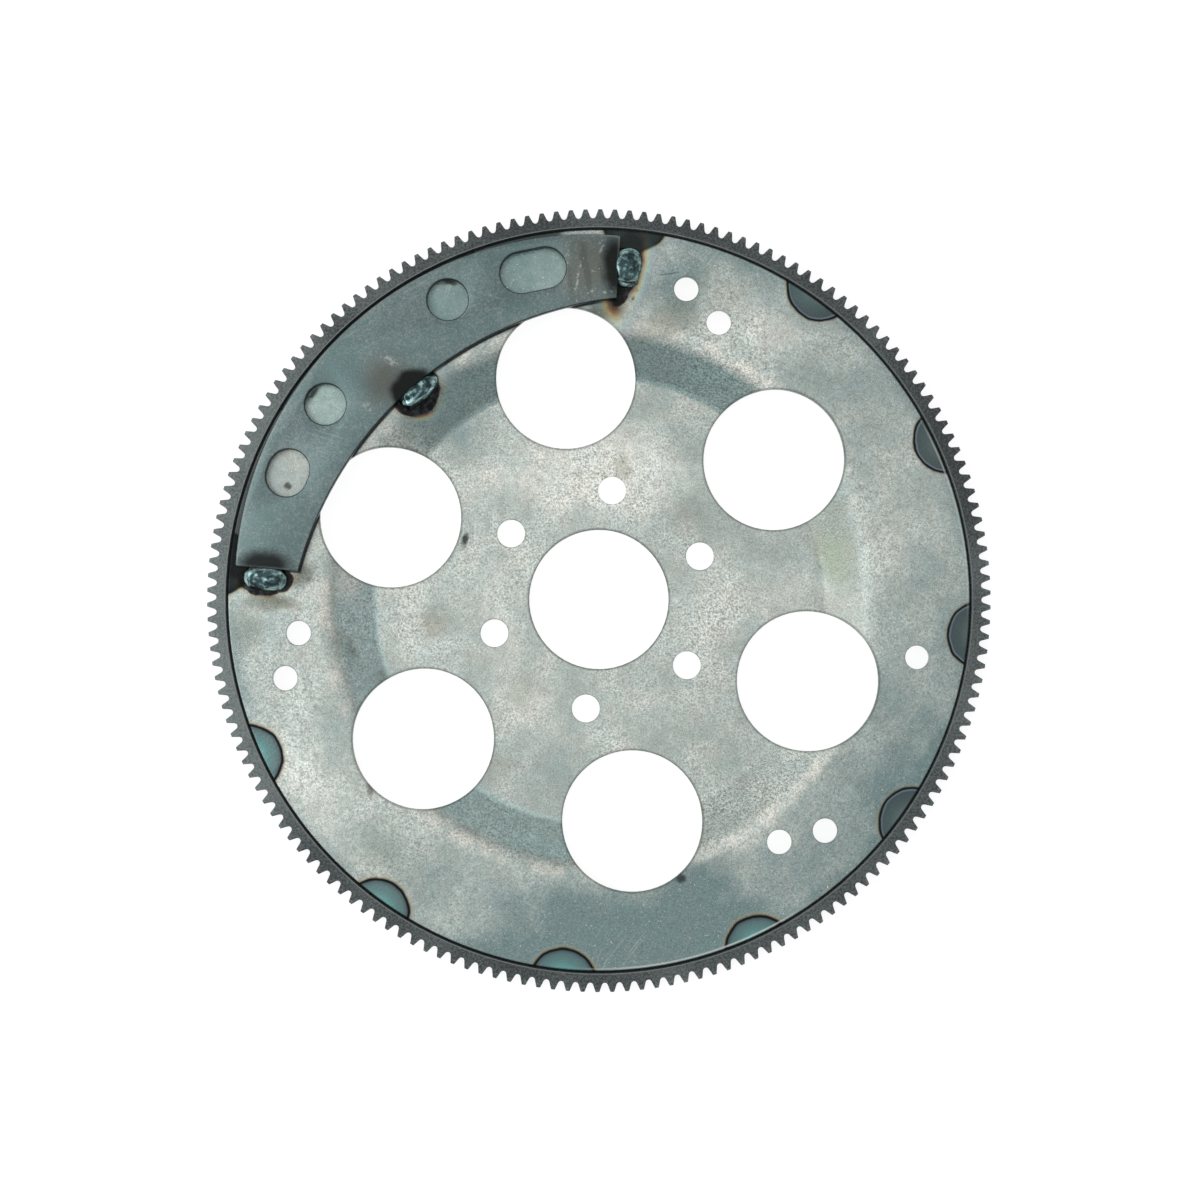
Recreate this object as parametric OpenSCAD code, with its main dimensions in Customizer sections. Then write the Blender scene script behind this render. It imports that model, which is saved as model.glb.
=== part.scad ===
// Flexplate for an automatic transmission: a pressed steel disc with a starter ring gear
// welded round it and an arc-shaped counterweight welded on its converter side.
// Millimetres. The crank face lies on z = 0 and the axis of the pilot bore is Z.
// Angles are in degrees, counter-clockwise from the crank bolt hole on +X.

/* [Disc] */
// Thickness of the pressed sheet
sheet = 3; // [2.5:0.1:3.5]
// Depth from the rim's front face to the centre's front face
dish_depth = 9; // [8:0.25:11]
// Slope of the dish wall
dish_slope = 23; // [21:1:26]
// Radius at which the flat centre ends
centre_face_r = 100.6; // [98:0.2:102]
// Front radius of the bend at the foot of the dish wall
inner_bend_r = 8; // [5:0.5:10]
// Front radius of the bend at the top of the dish wall
outer_bend_r = 25; // [16:1:26]
// Rounding of the rim's front edge
rim_round = 1; // [0.5:0.1:1.5]
// Break of the punched edges on the front
edge_break = 0.4; // [0.2:0.1:0.6]

/* [Crank bolts] */
// Diameter of the pilot bore
pilot_d = 63.5; // [58:0.5:68]
// Diameter of the circle through the crank bolt holes
crank_pcd = 100; // [94:0.5:106]
// Diameter of the crank bolt holes
crank_hole_d = 12.7; // [10:0.1:14]
// Number of places round the crank bolt circle
crank_holes = 6; // [4:1:8]
// Turn by which the hole opposite +X is set off, so that the disc fits one way only
crank_set_off = 5.2; // [3:0.1:8]

/* [Lightening holes] */
// Diameter of the lightening holes
lightening_d = 63.5; // [50:0.5:66]
// Diameter of the circle through them
lightening_pcd = 203; // [196:0.5:206]
// Number of lightening holes
lightening_holes = 6; // [4:1:6]
// Angle of the first one
lightening_turn = 15.4; // [10:0.1:20]

/* [Converter bolts] */
// Diameter of the converter bolt holes
converter_hole_d = 11.1; // [9:0.1:12]
// Diameter of the smaller converter bolt circle
converter_pcd_small = 273.05; // [268:0.05:276]
// Diameter of the larger converter bolt circle
converter_pcd_large = 292.1; // [288:0.05:298]
// Number of bolts on each circle
converter_bolts = 3; // [2:1:3]
// Angle of the first hole on the smaller circle
converter_turn_small = 43.4; // [42:0.1:44]
// Angle of the first hole on the larger circle
converter_turn_large = 51.1; // [50.6:0.1:52]
// Diameter of the index hole on the larger circle
index_hole_d = 10.7; // [9:0.1:11.5]
// Angle of the index hole
index_turn = 326.4; // [318:0.1:332]

/* [Ring gear] */
// Number of teeth
teeth = 166; // [164:1:170]
// Pitch diameter for each tooth, which is 12 teeth to the inch
tooth_module = 2.11667; // [2.1:0.00001:2.15]
// Pressure angle
pressure_angle = 20; // [18:0.5:22]
// Width of a tooth on the pitch circle
tooth_width = 2.65; // [2.4:0.05:3]
// Height of a tooth above the pitch circle
addendum = 1.35; // [1:0.05:1.8]
// Depth of the tooth space below the pitch circle
dedendum = 2.9; // [2.4:0.05:3.2]
// Angle of the first tooth
tooth_turn = 1.6; // [0:0.1:2]
// Width of the ring from its back face to its front face
ring_face = 10; // [8:0.5:11]
// Wall between the bore and the tooth roots
ring_wall = 4.8; // [4:0.1:6]
// Depth of the ring's front face below the disc's
ring_set = 0.4; // [0:0.1:1]
// Clearance between the disc's rim and the ring's bore
ring_fit = 0.05; // [0.02:0.01:0.1]
// Chamfer of the ring's bore
bore_chamfer = 0.8; // [0.4:0.1:1.2]
// Chamfer of the tooth tips on the front
tip_chamfer_front = 0.4; // [0.2:0.1:0.8]
// Chamfer of the tooth tips on the back, where the starter pinion runs in
tip_chamfer_back = 1.2; // [0.6:0.1:1.6]

/* [Counterweight] */
// Thickness of the weight
weight_thick = 4.5; // [3.5:0.25:6]
// Angle of its middle
weight_mid = 107.6; // [105:0.1:110]
// Angle between its ends
weight_span = 88.3; // [84:0.1:90]
// Radius of its outer edge
weight_outer_arc_r = 159; // [154:0.5:162]
// Gap between its outer edge and the disc's rim, at the middle
weight_rim_gap = 1.4; // [1:0.1:3]
// Radius of its inner edge
weight_inner_arc_r = 166.6; // [160:0.2:172]
// Distance of its inner edge from the axis, at the middle
weight_inner_r = 127; // [126:0.2:130]
// Width of its windows, as a share of its own width at the middle
window_share = 0.473; // [0.36:0.001:0.5]
// Land between the windows and its outer edge, at the middle
window_land = 5.8; // [5:0.1:8]
// Angle of the two round windows to each side of the middle
round_window_turn = 13.9; // [11:0.1:15]
// Straight run of the short slot
short_slot_run = 3; // [1:0.1:5]
// Angle of the short slot from the middle
short_slot_turn = 27.3; // [26:0.1:28]
// Straight run of the long slot
long_slot_run = 11.5; // [8:0.1:13]
// Angle of the long slot from the middle
long_slot_turn = 29.4; // [28:0.1:30]

/* [Welds] */
// Depth of a bead's line below the face on which the bead stands
weld_root = 0.6; // [0.3:0.1:1]
// Width of the beads that hold the weight
weight_weld_w = 12; // [11:0.2:13]
// Distance of such a bead's line from the edge that it closes
weight_weld_out = 3.8; // [3:0.1:4.4]
// Length of the bead at the weight's leading end
lead_weld_l = 18; // [14:0.5:22]
// Length of the bead at its trailing end
trail_weld_l = 20; // [14:0.5:22]
// Distance by which the two end beads lie outwards of the middle of the weight's end faces
end_weld_shift = 0.7; // [-2:0.1:2]
// Length of the bead at the middle of its inner edge
mid_weld_l = 21; // [16:0.5:24]
// Number of beads that hold the ring gear
ring_welds = 12; // [8:1:16]
// Angle of the first one
ring_weld_turn = 1.4; // [0:0.1:4]
// Length of these beads
ring_weld_l = 25; // [18:0.5:28]
// Width of these beads, at their middle, on each of the two faces that they join
ring_weld_leg = 5; // [3.5:0.1:5.5]

/* [Hidden] */
$fn = 300;
over = 0.5;
bend_steps = 10;
root_steps = 4;
bead_steps = 10;

pitch_r = teeth * tooth_module / 2;
base_r = pitch_r * cos(pressure_angle);
tip_r = pitch_r + addendum;
root_r = pitch_r - dedendum;
ring_bore_r = root_r - ring_wall;
disc_r = ring_bore_r - ring_fit;

rim_z = dish_depth + sheet;
rim_back_z = rim_z - sheet;
ring_front_z = rim_z - ring_set;
ring_back_z = ring_front_z - ring_face;
weight_top_z = rim_z + weight_thick;

bend_rise = (inner_bend_r + outer_bend_r) * (1 - cos(dish_slope));
wall_run = (dish_depth - bend_rise) / tan(dish_slope);
rim_face_r = centre_face_r + wall_run + (inner_bend_r + outer_bend_r) * sin(dish_slope);

weight_outer_r = disc_r - weight_rim_gap;
weight_outer_shift = weight_outer_r - weight_outer_arc_r;
weight_inner_shift = weight_inner_r - weight_inner_arc_r;
weight_lead = weight_mid - weight_span / 2;
weight_trail = weight_mid + weight_span / 2;
window_w = window_share * (weight_outer_r - weight_inner_r);
window_r = weight_outer_r - window_land - window_w / 2;

RING_WELD_NAMES = [for (i = [1 : ring_welds]) str("ring_weld_", i)];
WEIGHT_WELD_NAMES = ["weight_weld_lead", "weight_weld_mid", "weight_weld_trail"];

function polar(r, a) = [r * cos(a), r * sin(a)];

// Distance from the axis, at a turn from the weight's middle, of an edge whose arc is set off
function edge_r(arc_r, shift, turn) = shift * cos(turn) + sqrt(pow(arc_r, 2) - pow(shift * sin(turn), 2));

// Points on an arc round a centre, from one angle to another
function arc(centre, r, from, to, steps) =
    [for (i = [0 : steps]) centre + polar(r, from + (to - from) * i / steps)];

// The dish from the centre outwards, on a face that lies depth below the front face
function dish_line(depth) =
    let (foot = [centre_face_r, sheet + inner_bend_r])
    let (crest = [rim_face_r, rim_z - outer_bend_r])
    concat(
        arc(foot, inner_bend_r + depth, -90, -90 + dish_slope, bend_steps),
        arc(crest, outer_bend_r - depth, 90 + dish_slope, 90, bend_steps)
    );

// Half of a tooth's angle at a radius, along the involute
function involute(a) = tan(a) * 180 / PI - a;
function half_tooth(r) =
    tooth_width / pitch_r * 90 / PI + involute(pressure_angle) - involute(acos(base_r / r));

// Radius of the round root that touches both flanks, closed in on in a few turns
function half_gap(r) = r * (180 / teeth - half_tooth(r)) * PI / 180;
function root_round(turns) =
    turns == 0 ? tooth_width / 2 : cos(pressure_angle) * half_gap(root_r + root_round(turns - 1));

function tooth_points(a, root) =
    let (gap_a = a + 180 / teeth)
    let (root_centre = polar(root_r + root, gap_a))
    let (sweep = 90 - pressure_angle)
    concat(
        [for (r = [pitch_r, tip_r + over]) polar(r, a - half_tooth(r))],
        [for (r = [tip_r + over, pitch_r]) polar(r, a + half_tooth(r))],
        arc(root_centre, root, gap_a + 180 + sweep, gap_a + 180 - sweep, root_steps)
    );

module around(count, r, first) {
    for (i = [0 : count - 1])
        rotate(first + i * 360 / count)
            translate([r, 0, 0])
                children();
}

// A punched hole through the sheet, its edge broken on the front face at z
module punched(d, z) {
    translate([0, 0, z])
        rotate_extrude()
            polygon([
                [0, -sheet - over],
                [d / 2, -sheet - over],
                [d / 2, -edge_break],
                [d / 2 + edge_break, 0],
                [d / 2 + edge_break, over],
                [0, over]
            ]);
}

module disc_blank() {
    rim_corner = [disc_r - rim_round, rim_z - rim_round];
    front = concat(dish_line(0), arc(rim_corner, rim_round, 90, 0, root_steps));
    back = dish_line(sheet);
    bore = [
        [pilot_d / 2, 0],
        [pilot_d / 2, sheet - edge_break],
        [pilot_d / 2 + edge_break, sheet]
    ];
    rotate_extrude()
        polygon(concat(bore, front, [[disc_r, rim_back_z]], [for (i = [len(back) - 1 : -1 : 0]) back[i]]));
}

module disc() {
    color("silver")
        difference() {
            disc_blank();
            for (i = [0 : crank_holes - 1])
                rotate(i * 360 / crank_holes - (i == floor(crank_holes / 2) ? crank_set_off : 0))
                    translate([crank_pcd / 2, 0, 0])
                        punched(crank_hole_d, sheet);
            around(lightening_holes, lightening_pcd / 2, lightening_turn)
                translate([0, 0, -over])
                    cylinder(d = lightening_d, h = rim_z + 2 * over);
            around(converter_bolts, converter_pcd_small / 2, converter_turn_small)
                punched(converter_hole_d, rim_z);
            around(converter_bolts, converter_pcd_large / 2, converter_turn_large)
                punched(converter_hole_d, rim_z);
            around(1, converter_pcd_large / 2, index_turn)
                punched(index_hole_d, rim_z);
        }
}

module ring_blank() {
    rotate_extrude()
        polygon([
            [ring_bore_r, ring_back_z + bore_chamfer],
            [ring_bore_r + bore_chamfer, ring_back_z],
            [tip_r - tip_chamfer_back, ring_back_z],
            [tip_r, ring_back_z + tip_chamfer_back],
            [tip_r, ring_front_z - tip_chamfer_front],
            [tip_r - tip_chamfer_front, ring_front_z],
            [ring_bore_r + bore_chamfer, ring_front_z],
            [ring_bore_r, ring_front_z - bore_chamfer]
        ]);
}

module ring_gear() {
    root = root_round(4);
    color("dimgray")
        intersection() {
            ring_blank();
            translate([0, 0, ring_back_z - over])
                linear_extrude(ring_face + 2 * over)
                    polygon([for (i = [0 : teeth - 1]) each tooth_points(tooth_turn + i * 360 / teeth, root)]);
        }
}

// A slot with round ends, laid along the weight
module window(run, turn) {
    rotate(turn)
        translate([window_r, 0]) {
            square([window_w, run], center = true);
            for (side = [-1, 1])
                translate([0, side * run / 2])
                    circle(d = window_w);
        }
}

module weight_outline() {
    reach = disc_r / cos(weight_span / 2);
    difference() {
        intersection() {
            translate([weight_outer_shift, 0])
                circle(r = weight_outer_arc_r);
            polygon([[0, 0], polar(reach, -weight_span / 2), polar(reach, weight_span / 2)]);
        }
        translate([weight_inner_shift, 0])
            circle(r = weight_inner_arc_r);
        for (side = [-1, 1])
            rotate(side * round_window_turn)
                translate([window_r, 0])
                    circle(d = window_w);
        window(short_slot_run, short_slot_turn);
        window(long_slot_run, -long_slot_turn);
    }
}

module weight_plate() {
    translate([0, 0, rim_z])
        rotate(weight_mid)
            linear_extrude(weight_thick)
                weight_outline();
}

module counterweight() {
    color("slategray")
        weight_plate();
}

// A weld bead along X, round in section and drawn to a point at each end
module bead(length, width) {
    sweep_r = (pow(length, 2) + pow(width, 2)) / (4 * width);
    half = asin(length / 2 / sweep_r);
    inner = half * (1 - 2 / bead_steps);
    crown = arc([width / 2 - sweep_r, 0], sweep_r, -inner, inner, bead_steps - 2);
    rotate([0, 90, 0])
        rotate_extrude()
            polygon(concat([[0, -length / 2]], crown, [[0, length / 2]]));
}

// The room over the disc's front face
module over_front() {
    rim = [disc_r, rim_z];
    top = weight_top_z + weight_weld_w;
    rotate_extrude()
        polygon(concat([[0, top], [0, sheet]], dish_line(0), [rim, [disc_r, top]]));
}

// A bead on the flat rim, cut to the weight's end face and lapping over its top edge
module end_bead(length, end_turn, side) {
    end_outer_r = edge_r(weight_outer_arc_r, weight_outer_shift, weight_span / 2);
    end_inner_r = edge_r(weight_inner_arc_r, weight_inner_shift, weight_span / 2);
    bead_r = (end_outer_r + end_inner_r) / 2 + end_weld_shift;
    color("cadetblue")
        rotate(end_turn)
            difference() {
                translate([bead_r, side * weight_weld_out, rim_z - weld_root])
                    bead(length, weight_weld_w);
                translate([0, min(0, -side * weight_weld_w), rim_z - over])
                    cube([disc_r, weight_weld_w, weight_thick + over]);
                translate([0, -weight_weld_w, rim_z - weight_weld_w])
                    cube([disc_r, 2 * weight_weld_w, weight_weld_w]);
            }
}

module weight_weld_lead() {
    end_bead(lead_weld_l, weight_lead, -1);
}

module weight_weld_trail() {
    end_bead(trail_weld_l, weight_trail, 1);
}

module weight_weld_mid() {
    color("cadetblue")
        difference() {
            intersection() {
                rotate(weight_mid)
                    translate([weight_inner_r - weight_weld_out, 0, rim_z - weld_root])
                        rotate(90)
                            bead(mid_weld_l, weight_weld_w);
                over_front();
            }
            weight_plate();
        }
}

// A fillet weld in the corner between the ring's bore and the back of the rim. Its face is part
// of a ball, so it runs out to nothing at both ends.
module ring_weld(i) {
    reach = (pow(ring_weld_l / 2, 2) - pow(ring_weld_leg, 2)) / (2 * ring_weld_leg);
    ball_r = sqrt(pow(ring_weld_l / 2, 2) + 2 * pow(reach, 2));
    color("slategray")
        rotate(ring_weld_turn + (i - 1) * 360 / ring_welds)
            intersection() {
                translate([ring_bore_r + reach, 0, rim_back_z + reach])
                    sphere(ball_r);
                translate([0, 0, ring_back_z])
                    cylinder(r = ring_bore_r, h = rim_back_z - ring_back_z);
            }
}

disc();
ring_gear();
counterweight();
weight_weld_lead();
weight_weld_mid();
weight_weld_trail();
for (i = [1 : ring_welds])
    ring_weld(i);
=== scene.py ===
import math
import bpy
from mathutils import Matrix, Vector


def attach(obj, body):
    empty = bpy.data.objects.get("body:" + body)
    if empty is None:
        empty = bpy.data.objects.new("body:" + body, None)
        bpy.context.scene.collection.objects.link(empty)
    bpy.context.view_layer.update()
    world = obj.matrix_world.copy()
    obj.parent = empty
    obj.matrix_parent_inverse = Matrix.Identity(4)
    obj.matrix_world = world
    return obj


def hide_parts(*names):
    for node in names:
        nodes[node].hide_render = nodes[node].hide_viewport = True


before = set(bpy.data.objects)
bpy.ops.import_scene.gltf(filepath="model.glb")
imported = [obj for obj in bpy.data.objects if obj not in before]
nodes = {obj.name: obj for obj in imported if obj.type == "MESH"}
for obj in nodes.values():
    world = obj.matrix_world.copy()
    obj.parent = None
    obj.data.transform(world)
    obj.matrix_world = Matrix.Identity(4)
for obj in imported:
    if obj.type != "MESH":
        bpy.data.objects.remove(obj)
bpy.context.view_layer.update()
mm = 0.001
print("frame loaded:", len(nodes), "nodes")


# Short ways to write nodes: a socket is linked, anything else is set
def addNode(tree, kind, inputs=None, **settings):
    node = tree.nodes.new("ShaderNode" + kind)
    for name, value in settings.items():
        setattr(node, name, value)
    for name, value in (inputs or {}).items():
        if isinstance(value, bpy.types.NodeSocket):
            tree.links.new(value, node.inputs[name])
        else:
            node.inputs[name].default_value = value
    return node


def calc(tree, operation, *values, clamp=False):
    inputs = dict(enumerate(values))
    return addNode(tree, "Math", inputs, operation=operation, use_clamp=clamp).outputs[0]


def times(tree, first, second):
    return calc(tree, "MULTIPLY", first, second)


def minus(tree, first, second):
    return calc(tree, "SUBTRACT", first, second)


def mulAdd(tree, value, factor, plus, clamp=False):
    return calc(tree, "MULTIPLY_ADD", value, factor, plus, clamp=clamp)


def vecCalc(tree, operation, *values):
    node = addNode(tree, "VectorMath", dict(enumerate(values)), operation=operation)
    return node.outputs["Value" if operation in ("LENGTH", "DOT_PRODUCT") else "Vector"]


def scaleVec(tree, vector, factor):
    return addNode(tree, "VectorMath", {0: vector, "Scale": factor}, operation="SCALE").outputs[0]


def turnVec(tree, vector, angle, centre=(0, 0, 0)):
    inputs = {"Vector": vector, "Center": centre, "Angle": angle}
    return addNode(tree, "VectorRotate", inputs, rotation_type="Z_AXIS").outputs[0]


def ease(tree, value, low, high):
    inputs = {"Value": value, "From Min": low, "From Max": high}
    return addNode(tree, "MapRange", inputs, interpolation_type="SMOOTHSTEP").outputs[0]


# 1 from full to falling, easing to 0 at start and at end
def between(tree, value, start, full, falling, end):
    return times(tree, ease(tree, value, start, full), ease(tree, value, end, falling))


def blend(tree, factor, first, second, how="MIX"):
    inputs = {0: factor}
    for slot, colour in ((6, first), (7, second)):
        inputs[slot] = colour if isinstance(colour, bpy.types.NodeSocket) else (*colour, 1)
    return addNode(tree, "Mix", inputs, data_type="RGBA", blend_type=how).outputs[2]


def layOver(tree, colour, tint, mask, amount):
    return blend(tree, times(tree, mask, amount), colour, tint)


def ramp(tree, factor, stops):
    node = addNode(tree, "ValToRGB", {"Fac": factor})
    band = node.color_ramp
    while len(band.elements) < len(stops):
        band.elements.new(1.0)
    for element, (place, colour) in zip(band.elements, stops):
        element.position = place
        element.color = colour if len(colour) == 4 else (*colour, 1)
    return node


def noise(tree, vector, scale, detail=2.0, rough=0.5):
    inputs = {"Vector": vector, "Scale": scale, "Detail": detail, "Roughness": rough}
    return addNode(tree, "TexNoise", inputs).outputs[0]


def newGroup(name, inputs, outputs):
    tree = bpy.data.node_groups.new(name, "ShaderNodeTree")
    for label, kind, value in inputs:
        socket = tree.interface.new_socket(label, in_out="INPUT", socket_type="NodeSocket" + kind)
        socket.default_value = value
    for label, kind in outputs:
        tree.interface.new_socket(label, in_out="OUTPUT", socket_type="NodeSocket" + kind)
    return tree, tree.nodes.new("NodeGroupInput").outputs, tree.nodes.new("NodeGroupOutput").inputs


def useGroup(tree, group, inputs):
    return addNode(tree, "Group", inputs, node_tree=group).outputs


# Folds the plate round its axis onto one spoke: x runs outwards, y along the rim
def makePolarFold():
    tree, ins, outs = newGroup(
        "polarFold",
        [("Vector", "Vector", (0, 0, 0)), ("Turn", "Float", 0.0), ("Step", "Float", 1.0)],
        [("Local", "Vector"), ("Radius", "Float")],
    )
    xyz = addNode(tree, "SeparateXYZ", {0: ins["Vector"]}).outputs
    flat = addNode(tree, "CombineXYZ", {0: xyz[0], 1: xyz[1]}).outputs[0]
    radius = vecCalc(tree, "LENGTH", flat)
    angle = minus(tree, calc(tree, "ARCTAN2", xyz[1], xyz[0]), ins["Turn"])
    spokes = calc(tree, "ROUND", calc(tree, "DIVIDE", angle, ins["Step"]))
    off = minus(tree, angle, times(tree, spokes, ins["Step"]))
    outward = times(tree, radius, calc(tree, "COSINE", off))
    along = times(tree, radius, calc(tree, "SINE", off))
    local = addNode(tree, "CombineXYZ", {0: outward, 1: along}).outputs[0]
    tree.links.new(local, outs["Local"])
    tree.links.new(radius, outs["Radius"])
    return tree


# Distance from the middle of a turned oval, 1 on its outline
def makeOvalReach():
    tree, ins, outs = newGroup(
        "ovalReach",
        [("Vector", "Vector", (0, 0, 0)), ("Centre", "Vector", (0, 0, 0)),
         ("Size", "Vector", (1, 1, 1)), ("Turn", "Float", 0.0)],
        [("Reach", "Float")],
    )
    turned = turnVec(tree, ins["Vector"], times(tree, ins["Turn"], -1.0), ins["Centre"])
    local = vecCalc(tree, "SUBTRACT", turned, ins["Centre"])
    flat = vecCalc(tree, "MULTIPLY", local, (1, 1, 0))
    tree.links.new(vecCalc(tree, "LENGTH", vecCalc(tree, "DIVIDE", flat, ins["Size"])), outs["Reach"])
    return tree


# Rolled steel's mottle and patches, worm-like marks, a millimetre speckle and fine grit
def makeSteelGrain():
    tree, ins, outs = newGroup(
        "steelGrain",
        [("Vector", "Vector", (0, 0, 0))],
        [(label, "Float") for label in ("Speckle", "Mottle", "Grit", "Patch", "Worms")],
    )
    place = ins["Vector"]
    patchPlace = vecCalc(tree, "ADD", place, (61, 19, 0))
    wormPlace = vecCalc(tree, "ADD", place, (7, 41, 0))
    patterns = [
        ("Speckle", noise(tree, place, 0.95, 2.0, 0.7), 0.3, 0.7),
        ("Mottle", noise(tree, place, 0.028, 4.0, 0.6), 0.32, 0.68),
        ("Grit", noise(tree, place, 2.3, 2.0, 0.6), 0.3, 0.7),
        ("Patch", noise(tree, patchPlace, 0.075, 3.0, 0.6), 0.34, 0.66),
    ]
    for label, pattern, low, high in patterns:
        tree.links.new(ease(tree, pattern, low, high), outs[label])
    tree.links.new(noise(tree, wormPlace, 0.26, 3.0, 0.65), outs["Worms"])
    return tree


# Thin scratches along one direction, broken up into short runs
def makeScratches():
    tree, ins, outs = newGroup(
        "scratches",
        [("Vector", "Vector", (0, 0, 0)), ("Turn", "Float", 0.0), ("Amount", "Float", 0.5)],
        [("Mask", "Float")],
    )
    turned = turnVec(tree, ins["Vector"], ins["Turn"])
    thin = noise(tree, vecCalc(tree, "MULTIPLY", turned, (0.022, 0.9, 0.1)), 1.0, 1.0, 0.4)
    runs = noise(tree, vecCalc(tree, "ADD", turned, (37, 11, 0)), 0.03, 2.0, 0.5)
    lines = ease(tree, thin, 0.66, 0.72)
    broken = ease(tree, runs, 0.5, 0.64)
    tree.links.new(times(tree, times(tree, lines, broken), ins["Amount"]), outs["Mask"])
    return tree


# Colours that a weld's heat leaves round it: soot, brown, straw, clear, a breath of blue
def makeHeatBloom():
    tree, ins, outs = newGroup(
        "heatBloom",
        [("Reach", "Float", 0.0)],
        [("Colour", "Color"), ("Amount", "Float")],
    )
    band = ramp(tree, calc(tree, "DIVIDE", ins["Reach"], 1.7), [
        (0.00, (0.010, 0.011, 0.011, 1.0)),
        (0.555, (0.010, 0.011, 0.011, 0.98)),
        (0.595, (0.060, 0.022, 0.012, 0.90)),
        (0.625, (0.230, 0.100, 0.040, 0.75)),
        (0.665, (0.480, 0.380, 0.180, 0.75)),
        (0.72, (0.480, 0.570, 0.420, 0.58)),
        (0.79, (0.300, 0.480, 0.480, 0.46)),
        (0.87, (0.300, 0.330, 0.420, 0.30)),
        (1.00, (0.300, 0.370, 0.380, 0.0)),
    ])
    tree.links.new(band.outputs["Color"], outs["Colour"])
    tree.links.new(band.outputs["Alpha"], outs["Amount"])
    return tree


# The weight's outline, in millimetres and degrees: two arcs centred on its middle line, and its ends
weightOutline = {
    "middle": 130.74, "halfAngle": 44.15,
    "outerCentre": 7.53, "outerRadius": 159.0,
    "innerCentre": -39.6, "innerRadius": 166.6,
}


# How far a point lies outside that outline, and outside its inner arc alone
def makeWeightReach():
    tree, ins, outs = newGroup(
        "weightReach",
        [("Vector", "Vector", (0, 0, 0))],
        [("Reach", "Float"), ("Inner", "Float")],
    )
    plan = weightOutline
    along = turnVec(tree, ins["Vector"], math.radians(-plan["middle"]))
    flat = vecCalc(tree, "MULTIPLY", along, (1, 1, 0))
    fromOuter = vecCalc(tree, "SUBTRACT", flat, (plan["outerCentre"], 0, 0))
    outer = minus(tree, vecCalc(tree, "LENGTH", fromOuter), plan["outerRadius"])
    fromInner = vecCalc(tree, "SUBTRACT", flat, (plan["innerCentre"], 0, 0))
    inner = minus(tree, plan["innerRadius"], vecCalc(tree, "LENGTH", fromInner))
    xyz = addNode(tree, "SeparateXYZ", {0: flat}).outputs
    end = math.radians(plan["halfAngle"])
    aside = times(tree, calc(tree, "ABSOLUTE", xyz[1]), math.cos(end))
    ends = minus(tree, aside, times(tree, xyz[0], math.sin(end)))
    tree.links.new(calc(tree, "MAXIMUM", calc(tree, "MAXIMUM", outer, inner), ends), outs["Reach"])
    tree.links.new(inner, outs["Inner"])
    return tree


# Half-moon heat marks, by depth in from their outline: teal ones, and darker ones that are painted shade
def makeMoonTint():
    tree, ins, outs = newGroup(
        "moonTint",
        [("Depth", "Float", 0.0), ("InShade", "Float", 0.0)],
        [("Colour", "Color"), ("Amount", "Float")],
    )
    place = ease(tree, ins["Depth"], -4.0, 9.0)
    place.node.interpolation_type = "LINEAR"
    teal = ramp(tree, place, [
        (0.16, (0.420, 0.400, 0.280, 0.0)),
        (0.24, (0.360, 0.310, 0.170, 0.40)),
        (0.29, (0.110, 0.075, 0.035, 0.75)),
        (0.315, (0.010, 0.011, 0.012, 1.0)),
        (0.37, (0.012, 0.014, 0.016, 1.0)),
        (0.41, (0.075, 0.110, 0.120, 0.97)),
        (0.52, (0.100, 0.165, 0.170, 0.95)),
        (0.75, (0.110, 0.222, 0.218, 0.95)),
        (1.00, (0.135, 0.315, 0.300, 0.95)),
    ])
    # the darker colours of the marks in painted shade
    shadedMarks = ramp(tree, place, [
        (0.16, (0.350, 0.350, 0.280, 0.0)),
        (0.25, (0.280, 0.250, 0.150, 0.30)),
        (0.29, (0.070, 0.055, 0.035, 0.75)),
        (0.315, (0.010, 0.011, 0.012, 1.0)),
        (0.36, (0.014, 0.016, 0.020, 1.0)),
        (0.40, (0.150, 0.200, 0.230, 0.95)),
        (0.45, (0.055, 0.075, 0.085, 0.95)),
        (0.70, (0.060, 0.085, 0.085, 0.93)),
        (1.00, (0.090, 0.120, 0.115, 0.92)),
    ])
    tree.links.new(blend(tree, ins["InShade"], teal.outputs["Color"], shadedMarks.outputs["Color"]), outs["Colour"])
    alphas = {0: ins["InShade"], 2: teal.outputs["Alpha"], 3: shadedMarks.outputs["Alpha"]}
    tree.links.new(addNode(tree, "Mix", alphas).outputs[0], outs["Amount"])
    return tree


polarFold = makePolarFold()
ovalReach = makeOvalReach()
steelGrain = makeSteelGrain()
scratches = makeScratches()
heatBloom = makeHeatBloom()
moonTint = makeMoonTint()
weightReach = makeWeightReach()

viewTurn = math.radians(23.14)  # the plate lies turned by this under the camera


# A material with its Principled shader and the plate's coordinates in millimetres, turned to the view
def newFinish(name):
    finish = bpy.data.materials.new(name)
    finish.use_nodes = True
    tree = finish.node_tree
    shader = tree.nodes["Principled BSDF"].inputs
    place = addNode(tree, "TexCoord").outputs["Object"]
    inputs = {"Vector": place, "Rotation": (0, 0, viewTurn), "Scale": (1000, 1000, 1000)}
    onPlate = addNode(tree, "Mapping", inputs).outputs[0]
    return finish, tree, shader, onPlate


def bareMetal(tree, shader, colour, rough):
    tree.links.new(colour, shader["Base Color"])
    tree.links.new(rough, shader["Roughness"])
    shader["Metallic"].default_value = 1.0


def bump(tree, shader, height, strength, depth):
    node = addNode(tree, "Bump", {"Height": height, "Strength": strength, "Distance": depth})
    tree.links.new(node.outputs[0], shader["Normal"])


# 1 on a face that looks up, -1 on one that looks down
def facingUp(tree):
    normal = addNode(tree, "TexCoord").outputs["Normal"]
    return addNode(tree, "SeparateXYZ", {0: normal}).outputs[2]


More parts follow.
